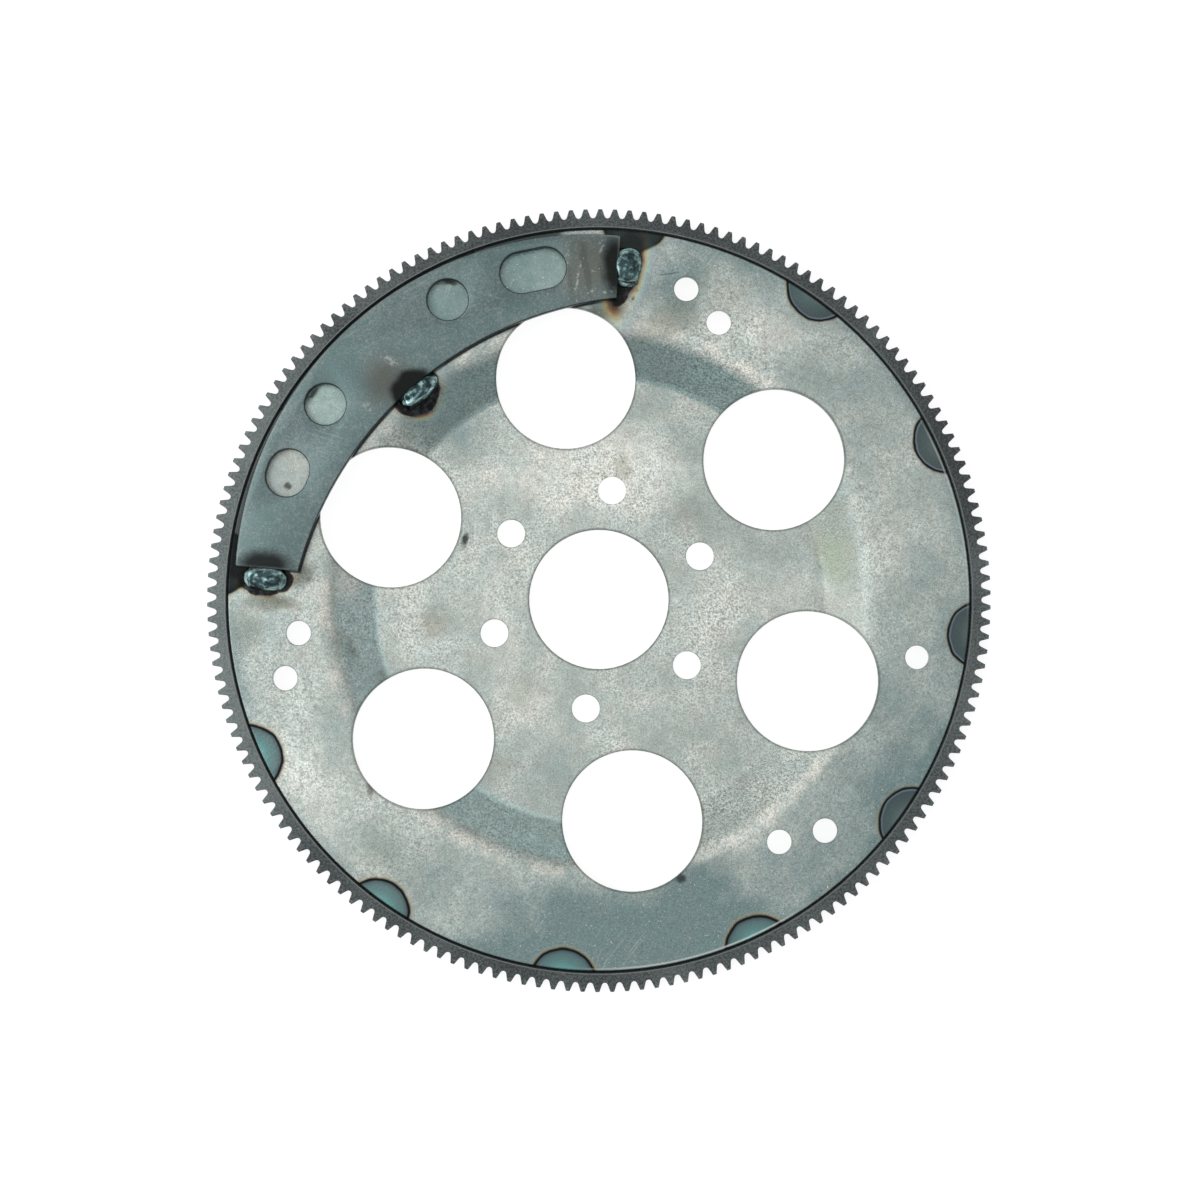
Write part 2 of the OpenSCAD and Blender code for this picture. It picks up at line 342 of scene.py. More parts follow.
def loosen(tree, vector, scale, amount):
    wobble = noise(tree, vector, scale, 2.0, 0.5).node.outputs["Color"]
    shift = vecCalc(tree, "SUBTRACT", wobble, (0.5, 0.5, 0.5))
    return vecCalc(tree, "ADD", vector, scaleVec(tree, shift, amount))


def oval(tree, vector, centre, size, turn):
    inputs = {"Vector": vector, "Centre": (*centre, 0), "Size": (*size, 1), "Turn": math.radians(turn)}
    return useGroup(tree, ovalReach, inputs)["Reach"]


def spot(tree, vector, centre, size, turn, soft):
    return ease(tree, oval(tree, vector, centre, size, turn), 1.0, 1.0 - soft)


def scratched(tree, onPlate, colour, look):
    for turn, amount in look["runs"]:
        mask = useGroup(tree, scratches, {"Vector": onPlate, "Turn": turn, "Amount": amount})["Mask"]
        colour = blend(tree, mask, colour, look["colour"])
    return colour


# Heat marks beside the ring, one for each of its welds and faint under the weight
def moons(tree, onPlate, colour, look):
    local = useGroup(tree, polarFold, {
        "Vector": loosen(tree, onPlate, 0.11, 1.6),
        "Turn": math.radians(look["turn"]), "Step": math.radians(360 / look["count"])})["Local"]
    fromMiddle = vecCalc(tree, "SUBTRACT", local, (look["circle"], 0, 0))
    depth = minus(tree, look["radius"], vecCalc(tree, "LENGTH", fromMiddle))
    # painted shade: the marks on the right side take the darker colours
    shadedMarks = spot(tree, onPlate, *look["shadedMarks"], 0.0, 0.35)
    tint = useGroup(tree, moonTint, {"Depth": depth, "InShade": shadedMarks})
    underWeight = ease(tree, useGroup(tree, weightReach, {"Vector": onPlate})["Reach"], -1.0, -4.0)
    amount = times(tree, tint["Amount"], mulAdd(tree, underWeight, -0.7, 1.0))
    return blend(tree, amount, colour, tint["Colour"]), depth


# Heat colours round the weight's welds, fainter on the back
def blooms(tree, onPlate, colour, look, front):
    ragged = loosen(tree, onPlate, 0.14, 3.0)
    fringe = mulAdd(tree, ease(tree, noise(tree, onPlate, 0.07, 1.0, 0.5), 0.40, 0.60), 0.75, 0.25)
    sheen = times(tree, ease(tree, noise(tree, onPlate, 0.35, 2.0, 0.6), 0.45, 0.75), 0.12)
    shown = mulAdd(tree, front, 0.6, 0.4)
    for row in look["welds"]:
        reach = oval(tree, ragged, row["centre"], row["size"], row["turn"])
        past = calc(tree, "MAXIMUM", minus(tree, reach, 1.0), 0.0)
        wide = mulAdd(tree, past, row["spread"] - 1.0, reach)
        tint = useGroup(tree, heatBloom, {"Reach": wide})
        keep = calc(tree, "MAXIMUM", times(tree, fringe, row["glow"]), ease(tree, reach, 1.06, 0.98))
        keep = times(tree, keep, shown)
        burnt = blend(tree, sheen, tint["Colour"], look["sheen"])
        colour = layOver(tree, colour, burnt, tint["Amount"], keep)
    return colour


discFinish = {
    "pale": (0.70, 0.725, 0.675),
    "teal": (0.195, 0.27, 0.27),
    "even": 0.5,  # how pale the sheet is where nothing marks it
    "casts": [(0.975, 1.003, 1.005), (1.02, 1.0, 0.98)],
    # painted shade for the sheet seen through the weight's windows
    "shaded": (0.86, 1.0, 1.01),
    # painted highlight on the ridge at the dish's outer bend
    "ridgeHighlight": (0.82, 0.81, 0.74),
    "oil": (0.23, 0.215, 0.145),
    "dirtAndShadow": (0.085, 0.080, 0.055),
    "green": (0.30, 0.36, 0.25),
    "pit": (0.13, 0.15, 0.14),
    "speck": (0.10, 0.115, 0.105),
    # painted glints: specks of highlight
    "glint": (0.92, 0.94, 0.90),
    "smudgeAndShadow": (0.02, 0.022, 0.02),
    # painted shade round the edges of the holes
    "holeEdgeShade": (0.06, 0.07, 0.065),
    # painted shadow along the weight's outline
    "corner": (0.014, 0.016, 0.016),
    "strip": (0.022, 0.026, 0.027),
    # painted highlight on the rounded edge of the disc's rim
    "lip": (0.66, 0.70, 0.67),
    # painted shade in the seam to the ring
    "seamShade": (0.010, 0.012, 0.013),
    "sheen": (0.30, 0.33, 0.40),
    # radii where each begins and is full, and where it starts to fade and ends
    "dullBand": (161.0, 167.0),
    "wallBand": (100.2, 101.4, 117.0, 121.0),
    "ridgeHighlightBand": (120.0, 123.0, 125.0, 129.0),
    "stripBand": (156.0, 158.0),
    "lipHighlightBand": (166.0, 166.4, 166.8, 167.2),
    "seamShadeBand": (167.1, 167.4),
    "holes": {"turn": 38.54, "count": 6, "circle": 101.5, "radius": 31.75, "pilot": 31.75},
    # turn in radians, amount
    "scratches": {"colour": (0.66, 0.67, 0.63), "runs": [(0.5, 0.22), (-0.9, 0.2), (1.9, 0.16)]},
    # centre, size: where the ridge has no painted highlight, the green patch, a window that stays warm, out
    # of the painted shade, and a sliver left out of the dark strip
    "ridgeWithoutHighlight": ((122, 4), (34, 60)),
    "greenPatch": ((107, 19), (12, 15)),
    "warmWindow": ((-140, 57), (22, 18)),
    "sliver": ((-7, 165), (12, 9)),
    # centre, size: where the rim's lip carries its painted highlight, fully and at half strength
    "lipHighlight": ((48, -158), (66, 34)),
    "halfLipHighlight": ((164, 45), (30, 60)),
    # centre, size, turn, strength: lighter and darker clouds
    "clouds": [
        ((3, 60), (62, 34), 0, 0.66),
        ((-22, 0), (80, 80), 0, 0.10),
        ((18, 58), (18, 12), 10, 0.25),
        ((-43, 52), (24, 18), 0, 0.22),
        ((-48, -16), (18, 50), 10, 0.20),
        ((38, 73), (22, 15), -20, -0.20),
        ((55, 0), (50, 44), 0, 0.16),
        ((4, -54), (60, 26), 0, 0.12),
        ((-138, -84), (30, 46), 30, 0.40),
        ((-152, -34), (24, 40), 0, -0.20),
        ((-161, -25), (10, 36), 0, -0.20),
        ((-140, -88), (16, 18), 0, -0.16),
        ((-85, -12), (26, 40), 0, 0.05),
        ((-81, -122), (24, 24), 0, -0.22),
        ((-92, -104), (28, 22), 40, -0.16),
        ((-29, -130), (40, 15), 0, -0.16),
        ((14, -150), (120, 42), 9, -0.76),
        ((120, -108), (40, 34), 40, -0.34),
        ((104, -76), (24, 16), 30, -0.16),
        ((140, -66), (44, 50), -20, -0.34),
        ((159, -25), (14, 26), 0, -0.26),
        ((118, -14), (20, 16), 0, -0.20),
        ((134, 30), (26, 46), 0, 0.14),
        ((150, -6), (26, 40), 0, -0.14),
        ((111, 30), (15, 30), 20, -0.34),
        ((113, 4), (15, 34), 0, -0.10),
        ((96, 136), (18, 12), -40, -0.24),
        ((80, 126), (28, 22), -30, 0.44),
        ((96, 118), (84, 30), -45, -0.10),
        ((34, 143), (21, 26), 0, -0.38),
        # painted shadow beside the weight's inner corner at the lead end
        ((0, 127), (14, 8), 0, -0.40),
        ((88, 66), (14, 34), 38, -0.35),
        ((-54, 99), (24, 15), 40, -0.18),
        ((-62, 82), (40, 26), 40, -0.18),
        ((-70, 120), (80, 40), 38, -0.36),
        ((-68, -90), (18, 16), 0, 0.18),
        ((68, -104), (34, 9), 25, 0.26),
        ((58, 151), (52, 16), -22, -0.22),
        ((88, -112), (28, 22), -40, -0.14),
        ((-49, 54), (20, 16), 0, 0.12),
        ((-36, -45), (18, 14), 0, 0.12),
        ((-140, -90), (16, 20), 30, -0.14),
        ((88, 3), (20, 32), 0, 0.22),
        ((110, -100), (60, 50), 40, -0.10),
        ((-32, -50), (16, 28), 0, 0.15),
        ((-62, 112), (24, 8), 30, 0.35),
    ],
    # centre, size, turn, colour: painted shade tints the dish's wall between its two bends
    "wallShades": [
        ((40, 104), (60, 44), 0, (0.235, 0.33, 0.325)),
        ((-110, -6), (36, 60), 0, (0.45, 0.575, 0.57)),
        ((-36, -104), (60, 40), 0, (0.43, 0.565, 0.55)),
        ((-54, 96), (50, 40), 0, (0.24, 0.33, 0.325)),
        ((114, -8), (19, 34), 0, (0.36, 0.39, 0.36)),
        ((-119, 20), (16, 28), 8, (0.62, 0.66, 0.63)),
        ((111, 28), (19, 24), 0, (0.32, 0.35, 0.315)),
    ],
    # centre, size, turn, strength: oily brown stains, one deepened by painted shadow
    "stainsAndShadow": [
        ((-75, -11), (12, 11), 20, 0.6),
        ((-119, -19), (7, 12), 10, 0.4),
        ((-100, -34), (5, 6), 0, 0.5),
        ((-45, -76), (14, 10), 30, 0.45),
        ((-36, -41), (11, 16), -30, 0.4),
        ((11, 59), (5, 6), 0, 0.5),
        ((40, 40), (14, 16), 0, 0.3),
        ((56, 138), (26, 14), -38, 0.25),
        ((32, 127), (22, 12), 20, 0.6),
        # a brown stain and painted shadow beside the weight's inner corner
        ((4, 131), (10, 7), 0, 0.9),
        ((-147, -1.5), (16, 6), 0, 0.9),
        ((-158, -12), (12, 16), 0, 0.3),
        ((-74, 30), (10, 16), 20, 0.3),
        ((-96, -118), (24, 12), -40, 0.30),
    ],
    # darker grime by the welds, and a painted shadow beside the weight's inner corner
    "grime": [
        ((-134, 10), (7, 9), -35, 0.8),
        ((-149, -1), (15, 5.5), 0, 0.6),
        # painted shadow beside the weight's inner corner
        ((3, 131), (11, 6), 15, 0.75),
        ((-112, -24), (5, 10), 10, 0.4),
    ],
    "smudgesAndShadows": [
        ((-61, 27), (2.2, 4.5), -20, 0.9),
        ((37, -126), (3.5, 3.0), 0, 0.8),
        ((-103, -86), (2.5, 4.0), 10, 0.6),
        ((17.1, 139.9), (1.3, 1.3), 0, 1.0),
        ((15.7, 136.2), (1.2, 1.2), 0, 1.0),
        ((-140.6, 51), (2.6, 2.4), 0, 0.8),
        # painted shadows: dark crescents at the upper edges of two of the weight's windows
        ((-129.6, 92.9), (5.5, 1.7), 46, 0.85),
        ((-67.5, 143.4), (5.0, 1.6), -8, 0.85),
        ((31.6, 147.6), (8.0, 0.5), 8, 0.5),
    ],
    "welds": [
        {"centre": (12.2, 148.8), "size": (5.7, 17.0), "turn": -16, "glow": 1.0, "spread": 0.45},
        {"centre": (-150.4, 8.5), "size": (12.2, 7.2), "turn": 0, "glow": 0.4, "spread": 1.0},
        {"centre": (-83, 93.3), "size": (11.2, 9.8), "turn": 41, "glow": 1.0, "spread": 0.9},
    ],
    "moons": {
        "turn": -5.46, "count": 12, "circle": 173.3, "radius": 15.3,
        # centre, size: the marks on the right side, in painted shade
        "shadedMarks": ((178, 45), (135, 225)),
        # centre, colour: two are burnt black
        "scorched": [((16.6, 167), (0.022, 0.029, 0.028)), ((-167, 16.6), (0.010, 0.011, 0.011))],
        "scorchedSize": (24, 24),
    },
}


# Lighter and darker clouds between teal and pale, duller towards the rim
def cloudySheet(tree, drift, grain, radius):
    look = discFinish
    paleness = mulAdd(tree, grain["Mottle"], 0.34, look["even"] - 0.15)
    for centre, size, turn, strength in look["clouds"]:
        paleness = mulAdd(tree, spot(tree, drift, centre, size, turn, 0.9), strength, paleness)
    paleness = mulAdd(tree, ease(tree, radius, *look["dullBand"]), -0.16, paleness)
    paleness = calc(tree, "MAXIMUM", calc(tree, "MINIMUM", paleness, 1.15), 0.0)
    return paleness, blend(tree, paleness, look["teal"], look["pale"])


# The dish's wall with painted shade, and a painted highlight on the ridge where it meets the rim
def dishWall(tree, onPlate, drift, colour, grain, radius):
    look = discFinish
    wall = between(tree, radius, *look["wallBand"])
    # painted shade on the dish's wall
    for centre, size, turn, tint in look["wallShades"]:
        mask = times(tree, wall, spot(tree, drift, centre, size, turn, 0.5))
        colour = layOver(tree, colour, tint, mask, 0.85)
    # painted highlight along the ridge at the outer bend, left out on the right side
    ridgeHighlight = between(tree, radius, *look["ridgeHighlightBand"])
    ridgeHighlight = times(tree, ridgeHighlight, minus(tree, 1.0, spot(tree, onPlate, *look["ridgeWithoutHighlight"], 0, 0.5)))
    return layOver(tree, colour, look["ridgeHighlight"], ridgeHighlight, times(tree, grain["Patch"], 0.5))


def stainedSheet(tree, onPlate, drift, colour, grain):
    look = discFinish
    smear = loosen(tree, onPlate, 0.09, 9.0)
    for centre, size, turn, strength in look["stainsAndShadow"]:
        mask = times(tree, spot(tree, smear, centre, size, turn, 0.9), strength)
        colour = layOver(tree, colour, look["oil"], mask, mulAdd(tree, grain["Speckle"], 0.7, 0.3))
    # grime by the welds, and a painted shadow beside the weight's corner
    for centre, size, turn, strength in look["grime"]:
        colour = layOver(tree, colour, look["dirtAndShadow"], spot(tree, smear, centre, size, turn, 0.95), strength)
    return layOver(tree, colour, look["green"], spot(tree, drift, *look["greenPatch"], 0, 0.9), 0.5)


# A green and a warm cast take turns, and the speckle is strong where the sheet is pale; through the weight's
# windows the sheet is in painted shade, darker and, except in one window, bluer
def speckledSheet(tree, onPlate, colour, grain, paleness, outside):
    look = discFinish
    colour = blend(tree, 1.0, colour, blend(tree, grain["Patch"], *look["casts"]), "MULTIPLY")
    covered = ease(tree, outside, -2.0, -5.0)  # seen through the weight's windows
    rough = mulAdd(tree, times(tree, paleness, grain["Mottle"]), 0.80, 0.28)
    rough = times(tree, rough, mulAdd(tree, covered, -0.65, 1.0))
    lift = mulAdd(tree, minus(tree, grain["Speckle"], 0.5), rough, 1.0)
    lift = mulAdd(tree, minus(tree, grain["Grit"], 0.5), mulAdd(tree, covered, -0.25, 0.44), lift)
    lift = mulAdd(tree, minus(tree, grain["Worms"], 0.5), mulAdd(tree, paleness, 0.75, 0.15), lift)
    # painted shade: darker through the weight's windows, and bluer except in one window
    lift = times(tree, lift, mulAdd(tree, covered, -0.14, 1.0))
    windowShade = times(tree, covered, minus(tree, 1.0, spot(tree, onPlate, *look["warmWindow"], 0, 0.4)))
    colour = blend(tree, windowShade, colour, blend(tree, 1.0, colour, look["shaded"], "MULTIPLY"))
    lifted = addNode(tree, "CombineXYZ", {0: lift, 1: lift, 2: lift}).outputs[0]
    return blend(tree, 1.0, colour, lifted, "MULTIPLY")


# Pits, dark specks, glints painted as highlights, scratches, and smudges, two of them painted shadows in the
# weight's windows
def markedSheet(tree, onPlate, colour, grain):
    look = discFinish
    pits = ease(tree, noise(tree, onPlate, 0.34, 3.0, 0.7), 0.63, 0.70)
    colour = layOver(tree, colour, look["pit"], pits, 0.35)
    specks = ease(tree, noise(tree, onPlate, 1.25, 2.0, 0.6), 0.65, 0.71)
    colour = layOver(tree, colour, look["speck"], specks, mulAdd(tree, grain["Patch"], 0.5, 0.1))
    # painted highlight: bright glints scattered over the sheet
    glintPlace = vecCalc(tree, "ADD", onPlate, (13, 83, 0))
    glints = ease(tree, noise(tree, glintPlace, 1.1, 2.0, 0.6), 0.66, 0.72)
    colour = layOver(tree, colour, look["glint"], glints, 0.55)
    colour = scratched(tree, onPlate, colour, look["scratches"])
    ragged = loosen(tree, onPlate, 0.4, 2.0)
    for centre, size, turn, strength in look["smudgesAndShadows"]:
        colour = layOver(tree, colour, look["smudgeAndShadow"], spot(tree, ragged, centre, size, turn, 0.7), strength)
    return colour


# Painted shade: a dark line round the punched edges of the large holes and the pilot
def shadedHoleEdges(tree, onPlate, colour, radius):
    look = discFinish
    holes = look["holes"]
    local = useGroup(tree, polarFold, {
        "Vector": onPlate,
        "Turn": math.radians(holes["turn"]), "Step": math.radians(360 / holes["count"])})["Local"]
    fromMiddle = vecCalc(tree, "SUBTRACT", local, (holes["circle"], 0, 0))
    fromHole = minus(tree, vecCalc(tree, "LENGTH", fromMiddle), holes["radius"])
    fromPilot = minus(tree, radius, holes["pilot"])
    nearest = calc(tree, "MINIMUM", calc(tree, "ABSOLUTE", fromHole), calc(tree, "ABSOLUTE", fromPilot))
    return layOver(tree, colour, look["holeEdgeShade"], ease(tree, nearest, 1.3, 0.2), 0.55)


# Painted shadow in the corner along the weight's outline, a dark strip beside the weight near the rim, a
# painted highlight on the rim's lip, and painted shade in the seam to the ring
def grimyRim(tree, onPlate, colour, radius, outside, front):
    look = discFinish
    beside = times(tree, front, ease(tree, outside, -1.5, -0.5))
    # painted shadow: a black line on the disc just outside the weight's outline
    corner = times(tree, beside, ease(tree, outside, 1.1, 0.4))
    colour = layOver(tree, colour, look["corner"], corner, 0.9)
    strip = times(tree, beside, ease(tree, outside, 7.0, 4.0))
    strip = times(tree, strip, ease(tree, radius, *look["stripBand"]))
    sliver = spot(tree, onPlate, *look["sliver"], 0, 0.4)
    colour = layOver(tree, colour, look["strip"], strip, mulAdd(tree, sliver, -0.85, 0.85))
    # painted highlight on the rounded lip at the disc's rim
    lip = between(tree, radius, *look["lipHighlightBand"])
    halfHighlighted = times(tree, spot(tree, onPlate, *look["halfLipHighlight"], 0, 0.5), 0.5)
    highlighted = calc(tree, "ADD", spot(tree, onPlate, *look["lipHighlight"], 0, 0.5), halfHighlighted)
    colour = layOver(tree, colour, look["lip"], times(tree, lip, highlighted), mulAdd(tree, strip, -0.55, 0.55))
    # painted shade: the disc's edge in the seam to the ring is nearly black
    return layOver(tree, colour, look["seamShade"], ease(tree, radius, *look["seamShadeBand"]), 0.93)


def makeDiscFinish():
    finish, tree, shader, onPlate = newFinish("mottledSheet")
    look = discFinish
    grain = useGroup(tree, steelGrain, {"Vector": onPlate})
    radius = useGroup(tree, polarFold, {"Vector": onPlate})["Radius"]
    outside = useGroup(tree, weightReach, {"Vector": onPlate})["Reach"]
    drift = loosen(tree, onPlate, 0.03, 26.0)
    front = ease(tree, facingUp(tree), -0.2, 0.2)
    paleness, colour = cloudySheet(tree, drift, grain, radius)
    colour = dishWall(tree, onPlate, drift, colour, grain, radius)
    colour = stainedSheet(tree, onPlate, drift, colour, grain)
    colour = speckledSheet(tree, onPlate, colour, grain, paleness, outside)
    colour = markedSheet(tree, onPlate, colour, grain)
    colour = shadedHoleEdges(tree, onPlate, colour, radius)
    colour, moonDepth = moons(tree, onPlate, colour, look["moons"])
    colour = grimyRim(tree, onPlate, colour, radius, outside, front)
    colour = blooms(tree, onPlate, colour, look, front)
    for centre, burnt in look["moons"]["scorched"]:
        near = spot(tree, onPlate, centre, look["moons"]["scorchedSize"], 0, 0.2)
        colour = layOver(tree, colour, burnt, times(tree, near, ease(tree, moonDepth, -0.6, 0.8)), 0.93)
    glossy = times(tree, ease(tree, moonDepth, 0.5, 2.5), 0.12)
    bareMetal(tree, shader, colour, minus(tree, mulAdd(tree, grain["Speckle"], 0.12, 0.36), glossy))
    bump(tree, shader, calc(tree, "ADD", grain["Speckle"], times(tree, grain["Grit"], 0.6)), 0.22, 0.0002)
    return finish


ringFinish = {
    "dark": (0.056, 0.063, 0.066),
    "light": (0.20, 0.228, 0.226),
    # painted highlight on the bore's chamfer
    "lip": (0.20, 0.22, 0.22),
    "lipHighlightBand": (169.3, 169.0),  # radii of the bore's chamfer
    "tipBand": (173.5, 177.0),  # radii over which the teeth are worn brighter
    "turning": 9.0,  # closeness of the lathe's rings
    # centre, size, turn, strength
    "clouds": [
        ((-165, -20), (90, 190), 0, 0.42),
        ((170, -20), (60, 150), 0, 0.2),
        ((20, 175), (150, 60), 0, -0.08),
        ((40, -180), (150, 50), 0, 0.08),
        ((164, 60), (34, 56), 0, -0.24),
        ((-132, -110), (50, 56), 0, -0.16),
        ((-30, -172), (60, 30), 0, -0.14),
    ],
}


def makeRingFinish():
    finish, tree, shader, onPlate = newFinish("hardenedRing")
    look = ringFinish
    grain = useGroup(tree, steelGrain, {"Vector": onPlate})
    radius = useGroup(tree, polarFold, {"Vector": onPlate})["Radius"]
    tone = mulAdd(tree, grain["Mottle"], 0.3, 0.12)
    for centre, size, turn, strength in look["clouds"]:
        tone = mulAdd(tree, spot(tree, onPlate, centre, size, turn, 0.8), strength, tone)
    tone = mulAdd(tree, minus(tree, grain["Speckle"], 0.5), 0.6, tone)
    worn = times(tree, ease(tree, radius, *look["tipBand"]), grain["Speckle"])
    tone = mulAdd(tree, worn, 0.35, tone, clamp=True)
    colour = blend(tree, tone, look["dark"], look["light"])
    # painted highlight on the bore's chamfer
    colour = layOver(tree, colour, look["lip"], ease(tree, radius, *look["lipHighlightBand"]), 0.85)
    bareMetal(tree, shader, colour, mulAdd(tree, grain["Grit"], 0.16, 0.36))
    turned = calc(tree, "SINE", times(tree, radius, look["turning"]))
    bump(tree, shader, mulAdd(tree, turned, 0.25, grain["Grit"]), 0.2, 0.0002)
    return finish


weightFinish = {
    "steel": (0.124, 0.185, 0.185),
    "worn": (0.33, 0.37, 0.365),
    "brown": (0.160, 0.150, 0.125),
    "fleck": (0.56, 0.60, 0.57),
    "scuff": (0.62, 0.63, 0.60),
    "burnt": (0.016, 0.017, 0.017),
    # painted shade on the window walls and the inner edge
    "punched": (0.02, 0.023, 0.023),
    "innerEdgeShade": (0.012, 0.014, 0.014),
    # wear with painted highlight on the outer edge
    "rim": (0.34, 0.39, 0.38),
    "scratches": {"colour": (0.50, 0.54, 0.52), "runs": [(0.3, 0.14), (-0.5, 0.1), (1.2, 0.1)]},
    "flecked": ((-4, 148), (26, 26)),  # centre, size
    # centre, size, turn, strength, softness
    "soot": [
        ((7.4, 150.4), (8.4, 18), 0, 0.96, 0.6),
        ((-151, 14.5), (17, 10), 0, 0.95, 0.6),
        ((-83.5, 93.8), (12.2, 11.4), 41, 0.98, 0.3),
        ((-83, 93.3), (16, 14.5), 41, 0.4, 0.8),
        ((-6, 150), (2.6, 18), 8, 0.24, 0.6),
        ((-14, 147), (2.2, 16), 10, 0.18, 0.6),
        ((-22, 146), (1.8, 15), 10, 0.16, 0.6),
        ((-96, 99), (15, 12), 49, 0.25, 0.8),
    ],
    # centre, size, turn, strength
    "light": [
        ((-86, 129), (32, 17), 38, 0.16),
        ((-112, 104), (22, 20), 45, -0.14),
        ((-152, 34), (16, 22), 0, -0.12),
    ],
    "scuffs": [
        ((1.7, 159), (5, 0.9), 62, 0.6),
        ((-9.4, 145.3), (9.7, 0.9), 78, 0.6),
        ((-3.3, 139), (3.6, 1.1), 36, 0.6),
        ((4, 138.4), (6, 1.0), 12, 0.55),
        ((-93.7, 107.3), (5.5, 2.5), -25, 0.45),
        ((-103.8, 86), (4.5, 2.4), -45, 0.35),
        ((-140, 66), (3.4, 1.2), 50, 0.35),
    ],
    "browned": [((-4, 149), (24, 24), 0, 0.62), ((-97, 99), (19, 16), 49, 0.6)],
}


# Painted shade on the walls of the windows and on the inner edge, and the outer edge lighter, with wear and
# painted highlight
def weightEdges(tree, onPlate, colour, grain):
    look = weightFinish
    outline = useGroup(tree, weightReach, {"Vector": onPlate})
    reach = outline["Reach"]
    inner = outline["Inner"]
    # painted shade on the windows' walls and along the inner edge
    punched = times(tree, ease(tree, facingUp(tree), 0.97, 0.7), ease(tree, reach, -1.6, -2.4))
    colour = layOver(tree, colour, look["punched"], punched, 0.7)
    colour = layOver(tree, colour, look["innerEdgeShade"], ease(tree, inner, -0.5, -0.2), 0.85)
    # wear with painted highlight on the outer edge and the ends
    rim = times(tree, ease(tree, reach, -1.3, -0.3), ease(tree, inner, -3.0, -5.0))
    return layOver(tree, colour, look["rim"], rim, times(tree, grain["Mottle"], 0.5))


def makeWeightFinish():
    finish, tree, shader, onPlate = newFinish("weightPlate")
    look = weightFinish
    grain = useGroup(tree, steelGrain, {"Vector": onPlate})
    drift = loosen(tree, onPlate, 0.06, 12.0)
    tone = mulAdd(tree, grain["Patch"], 0.14, mulAdd(tree, grain["Mottle"], 0.26, -0.06))
    tone = mulAdd(tree, minus(tree, grain["Worms"], 0.5), 0.4, tone)
    for centre, size, turn, strength in look["light"]:
        tone = mulAdd(tree, spot(tree, drift, centre, size, turn, 0.9), strength, tone)
    tone = mulAdd(tree, minus(tree, grain["Speckle"], 0.5), 0.6, tone)
    tone = mulAdd(tree, minus(tree, grain["Grit"], 0.5), 0.5, tone, clamp=True)
    colour = blend(tree, tone, look["steel"], look["worn"])
    for centre, size, turn, strength in look["browned"]:
        colour = layOver(tree, colour, look["brown"], spot(tree, drift, centre, size, turn, 0.9), strength)
    colour = scratched(tree, onPlate, colour, look["scratches"])
    flecks = ease(tree, noise(tree, onPlate, 0.95, 2.0, 0.6), 0.66, 0.73)
    often = mulAdd(tree, spot(tree, drift, *look["flecked"], 0, 0.6), 0.5, 0.22)
    colour = layOver(tree, colour, look["fleck"], flecks, often)
    crumbs = ease(tree, noise(tree, onPlate, 0.55, 2.0, 0.6), 0.42, 0.62)
    ragged = loosen(tree, onPlate, 0.2, 1.6)
    for centre, size, turn, strength in look["scuffs"]:
        mask = times(tree, spot(tree, ragged, centre, size, turn, 0.7), strength)
        colour = layOver(tree, colour, look["scuff"], mask, crumbs)
    smoky = loosen(tree, onPlate, 0.16, 3.0)
    for centre, size, turn, strength, soft in look["soot"]:
        colour = layOver(tree, colour, look["burnt"], spot(tree, smoky, centre, size, turn, soft), strength)
    colour = weightEdges(tree, onPlate, colour, grain)
    bareMetal(tree, shader, colour, mulAdd(tree, grain["Speckle"], 0.14, 0.34))
    bump(tree, shader, calc(tree, "ADD", grain["Speckle"], grain["Grit"]), 0.2, 0.0002)
    return finish


beadFinish = {
    "pool": (0.045, 0.080, 0.088),
    "slag": (0.025, 0.036, 0.038),
    "tint": (0.38, 0.56, 0.55),
    "metal": (0.20, 0.25, 0.25),
    "far": 9.0,  # reach of a point that is near no pool
    # centre, size, turn of the three on the weight
    "pools": [
        ((13.4, 150.2), (6.6, 9.2), -4),
        ((-150.4, 8.4), (10.2, 5.8), 0),
        ((-81.2, 94.6), (10.6, 5.0), 41),
    ],
}


def makeBeadFinish():
    finish, tree, shader, onPlate = newFinish("weldBead")
    look = beadFinish
    ragged = loosen(tree, onPlate, 0.2, 2.0)
    reach = look["far"]
    for centre, size, turn in look["pools"]:
        reach = calc(tree, "MINIMUM", reach, oval(tree, ragged, centre, size, turn))
    lip = between(tree, reach, 0.66, 0.80, 0.90, 1.0)
    streak = ease(tree, noise(tree, onPlate, 0.42, 2.0, 0.5), 0.48, 0.66)
    broken = mulAdd(tree, ease(tree, noise(tree, onPlate, 0.3, 2.0, 0.6), 0.38, 0.58), 0.7, 0.15)
    colour = blend(tree, times(tree, streak, 0.5), look["pool"], look["tint"])
    colour = layOver(tree, colour, look["tint"], lip, broken)
    colour = blend(tree, ease(tree, reach, 0.94, 1.04), colour, look["slag"])
    colour = blend(tree, ease(tree, reach, 1.6, 2.0), colour, look["metal"])
    bareMetal(tree, shader, colour, mulAdd(tree, streak, 0.16, 0.16))
    bump(tree, shader, noise(tree, onPlate, 1.1, 1.0, 0.4), 0.12, 0.0003)
    return finish


def wear(nodeName, finish):
    slots = nodes[nodeName].material_slots
    if not slots:
        nodes[nodeName].data.materials.append(finish)
    for slot in slots:
        slot.material = finish


wear("disc", makeDiscFinish())
wear("ring_gear", makeRingFinish())
weightSteel = makeWeightFinish()
weldMetal = makeBeadFinish()
print("finishes made")

smoothAngle = math.radians(40)


def pickOnly(piece):
    bpy.ops.object.select_all(action="DESELECT")
    piece.select_set(True)
    bpy.context.view_layer.objects.active = piece


def editAll():
    bpy.ops.object.mode_set(mode="EDIT")
    bpy.ops.mesh.select_all(action="SELECT")


